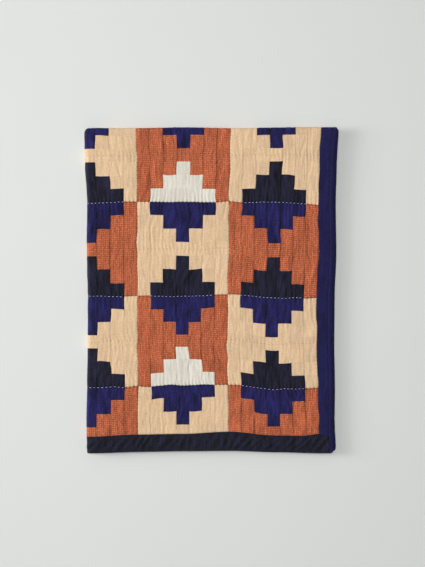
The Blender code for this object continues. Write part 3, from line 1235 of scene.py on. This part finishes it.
@dataclass
class SewnPiece:
    """One piece of the quilt, between two lines of the sheet each way.

    Attributes:
        name: the piece's name.
        node: the solid that it stands for.
        slot: a material slot's name, which is not used.
        across_span: its two sides over the cloth's width.
        along_span: its two ends over the cloth's length.
        cottons: the finishes of its faces.
        back_step: cells of the pieced side to one of the back.
        gap: between two pieces that are sewn together.
        least_cell: width of the narrowest cell by the piece's edges.
        turned_under: how much wider the piece is cut than it shows; not used.
    """

    sheet: Sheet
    chart: PatchChart
    name: str
    node: str
    slot: str
    across_span: Pair
    along_span: Pair
    cottons: list[WovenCotton]
    back_step: int = 4
    gap: float = 0.1 * MM
    least_cell: float = 0.3 * MM
    turned_under: float = 0.0

    def _span(self, lines: Grid, span: Pair, size: float) -> Grid:
        """Picks the lines inside a span and its two ends, a hair from a sewn neighbour.

        Args:
            lines: every line that way.
            span: the piece's two ends.
            size: the flat quilt's size that way.

        Returns:
            The piece's lines.
        """
        low = span[0] if span[0] == 0.0 else span[0] + self.gap / 2
        high = span[1] if span[1] == size else span[1] - self.gap / 2
        inside = (lines > low + self.least_cell) & (lines < high - self.least_cell)
        return np.concatenate(([low], lines[inside], [high]))

    def face_cottons(self, across: Grid, along: Grid) -> Grid:
        """The number of the finish at places of the pieced side."""
        return np.zeros(np.shape(across), dtype=int)

    def face_tints(self, across: Grid, along: Grid) -> Grid:
        """How much lighter or darker than its finish the cloth is at places."""
        return np.zeros(np.shape(across))

    def build(self, lines: Lines) -> None:
        """Builds the piece's mesh, dresses it and hangs it on the frame.

        Args:
            lines: where the mesh has points.
        """
        sheet = self.sheet
        columns = self._span(lines.across(), self.across_span, sheet.width)
        rows = self._span(lines.along(), self.along_span, sheet.length)
        across, along = np.meshgrid(columns, rows, indexing="ij")
        relief = Relief(sheet, self.chart, across, along)
        half = sheet.half_thickness(across, along)
        drawn = sheet.draw_up(*sheet.round_corners(across, along))
        coarse = [
            np.unique(np.append(np.arange(0, len(every), self.back_step), len(every) - 1))
            for every in (columns, rows)
        ]
        back_grid = np.ix_(*coarse)
        front = sheet.folded(*drawn, half + relief.height()).reshape(-1, 3)
        drawn_back = [place[back_grid] for place in drawn]
        back = sheet.folded(*drawn_back, -half[back_grid]).reshape(-1, 3)

        numbers = np.arange(across.size).reshape(across.shape)
        back_numbers = across.size + np.arange(len(back)).reshape(len(coarse[0]), len(coarse[1]))
        quads = cells(numbers)
        back_quads = cells(back_numbers)[:, ::-1]
        rim = self._rim(numbers, back_numbers, *coarse)
        points = np.concatenate((front, back)).tolist()
        faces = quads.tolist() + back_quads.tolist() + rim
        piece = add_mesh(self.name, points, faces, [cotton.material() for cotton in self.cottons])

        flat = [np.append(grid, grid[back_grid]) for grid in (across, along)]
        rim_flat = [
            np.clip([place[face].mean() for face in rim], every[0] + MM, every[-1] - MM)
            for place, every in zip(flat, (columns, rows))
        ]
        middle = [((grid[:-1, :-1] + grid[1:, 1:]) / 2).ravel() for grid in (across, along)]
        back_used = np.zeros(len(back_quads), dtype=int)
        used = (self.face_cottons(*middle), back_used, self.face_cottons(*rim_flat))
        piece.data.polygons.foreach_set("material_index", np.concatenate(used).astype(np.int32))
        tints = np.append(self.face_tints(*middle), np.zeros(len(faces) - len(quads)))
        self._dress(piece.data, relief, np.stack(flat, axis=-1), tints)

        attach(piece, BODY)
        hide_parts(self.node)
        LOG.info("%s: %d faces", self.name, len(faces))

    def _dress(self, mesh: bpy.types.Mesh, relief: Relief, flat: Grid, tints: Grid) -> None:
        """Gives a mesh what its finishes read: place on the cloth, tint, and where to paint wear,
        sheen and shade.

        Args:
            mesh: the piece's mesh.
            relief: of the pieced side, whose points come first.
            flat: across and along of every point.
            tints: how much lighter or darker each face is.
        """
        corners = np.zeros(len(mesh.loops), dtype=np.int32)
        mesh.loops.foreach_get("vertex_index", corners)
        layer = mesh.uv_layers.new(name="cloth")
        layer.data.foreach_set("uv", flat[corners].astype(np.float32).ravel())
        shown = relief.shown()
        # Painted shade: the depth of the seams and rows, leaving out the seams between blocks, sets
        # how dark the cottons paint each groove's bottom.
        ditch = relief.ditch(seams=2.2, blocks=-1.0, rows=0.55) * shown
        crease = np.clip(ditch / (2.0 * MM), 0.0, 1.0)
        # Partly wear, partly painted sheen and shade: the ridges' height sets how much paler their
        # tops and darker their hollows are painted.
        ridge = np.clip(relief.ridge() * shown / MM, -1.0, 1.0)
        plain = np.zeros(len(flat) - crease.size)
        for name, domain, values in (
            ("crease", "POINT", np.append(crease, plain)),
            ("ridge", "POINT", np.append(ridge, plain)),
            ("patch_tint", "FACE", tints),
        ):
            data = mesh.attributes.new(name, "FLOAT", domain).data
            data.foreach_set("value", values.astype(np.float32))

    def _rim(self, numbers: Grid, back: Grid, coarse_i: Grid, coarse_j: Grid) -> list[list[int]]:
        """Makes the faces round the edge, between the fine front and the coarse back.

        Args:
            numbers: the points of the pieced side.
            back: the points of the back.
            coarse_i: which of the front's lines across the back has.
            coarse_j: which of its lines along.

        Returns:
            The numbers of each face's points.
        """
        faces = []
        for a, (start, end) in enumerate(zip(coarse_i[:-1], coarse_i[1:])):
            side = numbers[start : end + 1]
            faces.append([*side[:, 0], back[a + 1, 0], back[a, 0]])
            faces.append([*side[::-1, -1], back[a, -1], back[a + 1, -1]])
        for b, (start, end) in enumerate(zip(coarse_j[:-1], coarse_j[1:])):
            side = numbers[:, start : end + 1]
            faces.append([*side[0, ::-1], back[0, b], back[0, b + 1]])
            faces.append([*side[-1], back[-1, b + 1], back[-1, b]])
        return [[int(number) for number in face] for face in faces]


@dataclass
class PiecedField(SewnPiece):
    """The patchwork, whose faces take their cotton from the chart.

    Attributes:
        tint_range: how much lighter or darker a patch can be.
    """

    tint_range: float = 0.05

    def _patches(self, across: Grid, along: Grid) -> tuple[Grid, Grid]:
        """Counts places in patches, on the shown and the hidden layers.

        Args:
            across: places over the cloth's width.
            along: places over its length.

        Returns:
            Patches from the upper side border and from the front border.
        """
        columns = np.arange(self.sheet.columns + 1)
        column_places = [self.sheet.column_line(column) for column in columns]
        rows = np.arange(0, math.ceil(self.sheet.rows) + 1) - 1 + self.sheet.cut_row
        rows = np.maximum(rows, 0.0)
        row_places = [self.sheet.row_line(row) for row in rows]
        return np.interp(across, column_places, columns), np.interp(along, row_places, rows)

    def face_cottons(self, across: Grid, along: Grid) -> Grid:
        """The number of the finish at places of the pieced side."""
        return self.chart.cotton(*self._patches(across, along))

    def face_tints(self, across: Grid, along: Grid) -> Grid:
        """Makes each patch a little lighter or darker than the next.

        Args:
            across: places over the cloth's width.
            along: places over its length.

        Returns:
            How much lighter or darker each place is.
        """
        side = 64
        shades = np.random.default_rng(11).uniform(-1.0, 1.0, (side, side))
        column, row = self._patches(across, along)
        course = np.floor(row - self.sheet.cut_row).astype(int) + 1
        return self.tint_range * shades[np.floor(column).astype(int) % side, course % side]


@dataclass
class Binding(SewnPiece):
    """The narrow binding of a long side, at the cloth's edge."""

    back_step: int = 1
    turned_under: float = 3.0 * MM


@dataclass(frozen=True)
class Stitch:
    """One running stitch.

    Attributes:
        across: its middle's place over the cloth's width.
        along: its middle's place over the cloth's length.
        weight: how much of it shows, from 0 to 1.
        thread: the number of its thread.
    """

    across: float
    along: float
    weight: float
    thread: int


@dataclass
class RunningStitches:
    """Hand quilting: a running stitch along each row.

    Attributes:
        threads: for the rows between the blocks, and for those through their middles.
        length: of a stitch, which varies by length_range.
        thickness: of a stitch between two dark patches, where it lies on top.
        sunk_weights: share of that which shows where one or both patches are pale, and it sinks in.
        middle_row_weight: the same for the rows through the middle of the blocks.
        lift: how far a stitch arches over the cloth, and sink how far its ends go in.
        beside_seam: how far in front of the seam a row is sewn.
        unevenness: how far a stitch is off its place, and drift how far a row wanders.
    """

    sheet: Sheet
    chart: PatchChart
    threads: tuple[CottonThread, CottonThread]
    length: float = 4.9 * MM
    length_range: Pair = (0.9, 1.1)
    thickness: float = 1.45 * MM  # real thread is 0.6 mm, which would not show from so far
    sunk_weights: Pair = (0.35, 0.2)
    middle_row_weight: float = 0.75
    lift: float = 0.6 * MM
    sink: float = 0.25 * MM
    beside_seam: float = 0.8 * MM
    rings: int = 7
    sides: int = 6
    unevenness: float = 0.12 * MM
    drift: float = 0.6 * MM

    def _weight(self, across: float, row: float) -> float:
        """How much of a stitch shows, from the cottons on both sides of its row.

        Args:
            across: the stitch's place over the cloth's width.
            row: its row, counted in patches from the front border.

        Returns:
            The stitch's weight.
        """
        column = np.full(2, (across - self.sheet.frame_width) / self.sheet.patch)
        cottons = self.chart.cotton(column, np.array([row - 0.5, row + 0.5]))
        dark = (Cotton.INDIGO.value, Cotton.INK.value)
        pale_sides = sum(int(cotton) not in dark for cotton in cottons)
        return (1.0, *self.sunk_weights)[pale_sides]

    def _rows(self) -> list[Stitch]:
        """Lays out the stitches.

        Returns:
            Every stitch, row by row.
        """
        sheet = self.sheet
        pitch = sheet.stitch_pitch
        stitches = []
        row = sheet.first_quilting
        count = 0
        while sheet.row_line(row) < sheet.outer_run:
            shift = (math.pi - sheet.stitch_shift * count) / (2 * math.pi) * pitch
            first = math.ceil((sheet.frame_width - shift) / pitch)
            last = int((sheet.upper_run + 0.4 * sheet.side_fold_run - shift) / pitch)
            for number in range(first, last + 1):
                across = shift + number * pitch
                weight = self._weight(across, row) if count % 2 == 0 else self.middle_row_weight
                stitches.append(Stitch(across, sheet.row_line(row), weight, count % 2))
            row += sheet.quilting_step
            count += 1
        return stitches

    def _points(self, stitches: list[Stitch]) -> Grid:
        """Shapes every stitch as a thick little arch that lies on the cloth.

        Args:
            stitches: where they are.

        Returns:
            The points, ring by ring, stitch by stitch.
        """
        total = len(stitches)
        random = np.random.default_rng(21)
        middle = np.array([(stitch.across, stitch.along) for stitch in stitches])
        middle = middle + random.normal(0, self.unevenness, (total, 2))
        length = self.length * random.uniform(*self.length_range, total)
        wander = uneven(middle[:, 0] / (45 * MM), np.round(middle[:, 1] / 0.02) * 2.7, 22)
        middle[:, 1] += self.drift * wander - self.beside_seam

        weight = np.array([stitch.weight for stitch in stitches])[:, None, None]
        shares = np.linspace(-1, 1, self.rings)[:, None]
        angles = np.arange(self.sides) / self.sides * 2 * math.pi
        radius = self.thickness / 2 * np.sqrt(np.clip(1 - shares**2, 0.04, 1)) ** 0.7
        side = radius * np.cos(angles) * weight
        rise = radius * np.sin(angles) * weight
        across = middle[:, :1, None] + length[:, None, None] / 2 * shares + 0 * side
        along = middle[:, 1:, None] + side
        seam = middle[:, 1:, None] + 0 * side
        surface = self.sheet.thickness / 2 + Relief(self.sheet, self.chart, across, seam).height()
        arch = self.lift * weight * (1 - shares**2) - self.sink
        drawn = self.sheet.draw_up(across, along)
        return self.sheet.folded(*drawn, surface + arch + rise).reshape(-1, 3)

    def build(self) -> None:
        """Builds every stitch as one joined mesh and hangs it on the frame."""
        stitches = self._rows()
        points = self._points(stitches)
        faces = []
        for rings in np.arange(len(points)).reshape(-1, self.rings, self.sides):
            around = cells(np.column_stack((rings, rings[:, :1])))
            faces += [*around.tolist(), rings[0, ::-1].tolist(), rings[-1].tolist()]
        materials = [thread.material() for thread in self.threads]
        piece = add_mesh("quilting_stitches", points.tolist(), faces, materials)
        used = np.repeat([stitch.thread for stitch in stitches], len(faces) // len(stitches))
        piece.data.polygons.foreach_set("material_index", used.astype(np.int32))
        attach(piece, BODY)
        LOG.info("quilting_stitches: %d stitches", len(stitches))


@dataclass
class Quilt:
    """The whole quilt, made of its sewn pieces and its stitches."""

    sheet: Sheet = field(default_factory=Sheet)

    def build(self) -> None:
        """Builds every piece in the order in which it was sewn."""
        sheet = self.sheet
        chart = PatchChart(sheet)
        lines = Lines(sheet)
        upper = (sheet.side_binding, sheet.frame_width)
        lower = (sheet.width - sheet.frame_width, sheet.width - sheet.side_binding)
        front = (0.0, sheet.end_border)
        inner = (sheet.length - sheet.end_border, sheet.length)
        middle = (sheet.frame_width, lower[0])
        inside = (sheet.side_binding, lower[1])
        whole = (0.0, sheet.length)
        between = (sheet.end_border, inner[0])
        upper_edge = (0.0, sheet.side_binding)
        lower_edge = (lower[1], sheet.width)
        apricot = ("apricot_cotton", [COTTONS[cotton] for cotton in Cotton])
        indigo = ("indigo_cotton", [BORDER_INDIGO])
        ink = ("ink_cotton", [BORDER_INK])
        for kind, name, node, across, along, (slot, cottons) in (
            (PiecedField, "patchwork", "pieced_field", middle, between, apricot),
            (SewnPiece, "indigo_border_upper", "side_border_upper", upper, between, indigo),
            (SewnPiece, "indigo_border_lower", "side_border_lower", lower, between, indigo),
            (SewnPiece, "ink_border_front", "end_border_front", inside, front, ink),
            (SewnPiece, "ink_border_inner", "end_border_inner", inside, inner, ink),
            (Binding, "side_binding_upper_cloth", "side_binding_upper", upper_edge, whole, indigo),
            (Binding, "side_binding_lower_cloth", "side_binding_lower", lower_edge, whole, indigo),
        ):
            kind(sheet, chart, name, node, slot, across, along, cottons).build(lines)
        middle_thread = CottonThread("apricot_quilting_thread", "#d9a074")
        RunningStitches(sheet, chart, (CottonThread(), middle_thread)).build()


@dataclass(frozen=True)
class PaintedBoard:
    """A board with rolled matt paint: pale and nearly even, so that it shows the soft shadow."""

    name: str = "pale_painted_board"
    colour: str = "#dfe1de"
    unevenness: float = 0.02

    def material(self) -> bpy.types.Material:
        """Makes the material, with a faint unevenness.

        Returns:
            The material.
        """
        made, shader = add_material(self.name, {"Roughness": 0.95, "Specular IOR Level": 0.1})
        tree = made.node_tree
        place = add_node(tree, "ShaderNodeTexCoord").outputs["Object"]
        noise = add_node(tree, "ShaderNodeTexNoise", {"Vector": place, "Scale": 3.0, "Detail": 2.0})
        value = {0: noise.outputs["Fac"], 1: self.unevenness, 2: 1.0 - self.unevenness / 2}
        value = add_node(tree, "ShaderNodeMath", value, operation="MULTIPLY_ADD").outputs[0]
        colour = {"Value": value, "Color": linear(self.colour)}
        colour = add_node(tree, "ShaderNodeHueSaturation", colour).outputs["Color"]
        tree.links.new(colour, shader.inputs["Base Color"])
        return made


@dataclass(frozen=True)
class SoftLight:
    """One soft box: a square panel, evenly lit, that points at the quilt."""

    name: str
    place: tuple[float, float, float]
    size: float
    watts: float

    def build(self) -> None:
        """Adds the light to the scene."""
        data = bpy.data.lights.new(self.name, "AREA")
        data.shape = "SQUARE"
        data.size = self.size
        data.energy = self.watts
        light = add_object(self.name, data)
        light.location = self.place
        x, y, z = self.place
        light.rotation_euler = (math.atan2(math.hypot(x, y), z), 0.0, math.atan2(x, -y))


@dataclass
class Studio:
    """A camera straight above, a pale floor, and soft light from above and from the left.

    Attributes:
        metres_a_pixel: at the quilt's top, in a picture of frame_width_px.
        centre: x and y under the camera.
        sky: strength of the even light from all round.
    """

    metres_a_pixel: float = 0.002835
    frame_width_px: int = 425
    centre: Pair = (0.00285, 0.0191)
    camera_height: float = 3.4
    quilt_top: float = 0.026
    sensor_mm: float = 36.0
    far_clip: float = 50.0
    floor_reach: float = 5.5
    floor_depth: float = 0.3 * MM
    sky: float = 0.11
    lights: tuple[SoftLight, ...] = (
        SoftLight("overhead_box", (-0.25, 0.35, 4.4), 1.3, 104.0),
        SoftLight("left_window", (-7.0, 1.6, 3.9), 4.0, 174.0),
        SoftLight("low_left_wall", (-7.0, 0.5, 2.3), 2.2, 305.0),
        SoftLight("back_fill", (0.5, 6.0, 3.4), 3.0, 28.0),
        SoftLight("front_fill", (0.0, -3.5, 3.5), 2.0, 12.0),
    )

    def build(self) -> None:
        """Builds the camera, the floor, the lights and the sky."""
        self._camera()
        self._floor()
        for light in self.lights:
            light.build()
        self._sky()
        LOG.info("studio: camera, floor and %d lights", len(self.lights))

    def _camera(self) -> None:
        """A long lens from above that frames the quilt as the photograph does."""
        data = bpy.data.cameras.new("camera")
        data.sensor_fit = "HORIZONTAL"
        data.sensor_width = self.sensor_mm
        across = self.metres_a_pixel * self.frame_width_px
        data.lens = self.sensor_mm * (self.camera_height - self.quilt_top) / across
        data.clip_end = self.far_clip
        camera = add_object("camera", data)
        camera.location = (*self.centre, self.camera_height)
        bpy.context.scene.camera = camera

    def _floor(self) -> None:
        """A wide floor just under the quilt."""
        reach = self.floor_reach
        corners = ((-reach, -reach), (reach, -reach), (reach, reach), (-reach, reach))
        points = [(x, y, -self.floor_depth) for x, y in corners]
        floor = add_mesh("floor", points, [(0, 1, 2, 3)], [PaintedBoard().material()])

    def _sky(self) -> None:
        """An even pale sky, and plain colours, so that a cotton's hex colour shows as it is."""
        world = bpy.data.worlds.new("sky")
        bpy.context.scene.world = world
        world.use_nodes = True
        background = world.node_tree.nodes["Background"]
        background.inputs["Color"].default_value = (1.0, 1.0, 1.0, 1.0)
        background.inputs["Strength"].default_value = self.sky
        bpy.context.scene.view_settings.view_transform = "Standard"


def write_sizes() -> None:
    """Brings the scene's placements up to date."""
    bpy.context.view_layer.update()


def main() -> None:
    """Builds the studio and the quilt."""
    logging.basicConfig(level=logging.INFO, format="%(message)s")
    Studio().build()
    Quilt().build()
    write_sizes()


if __name__ == "__main__":
    main()
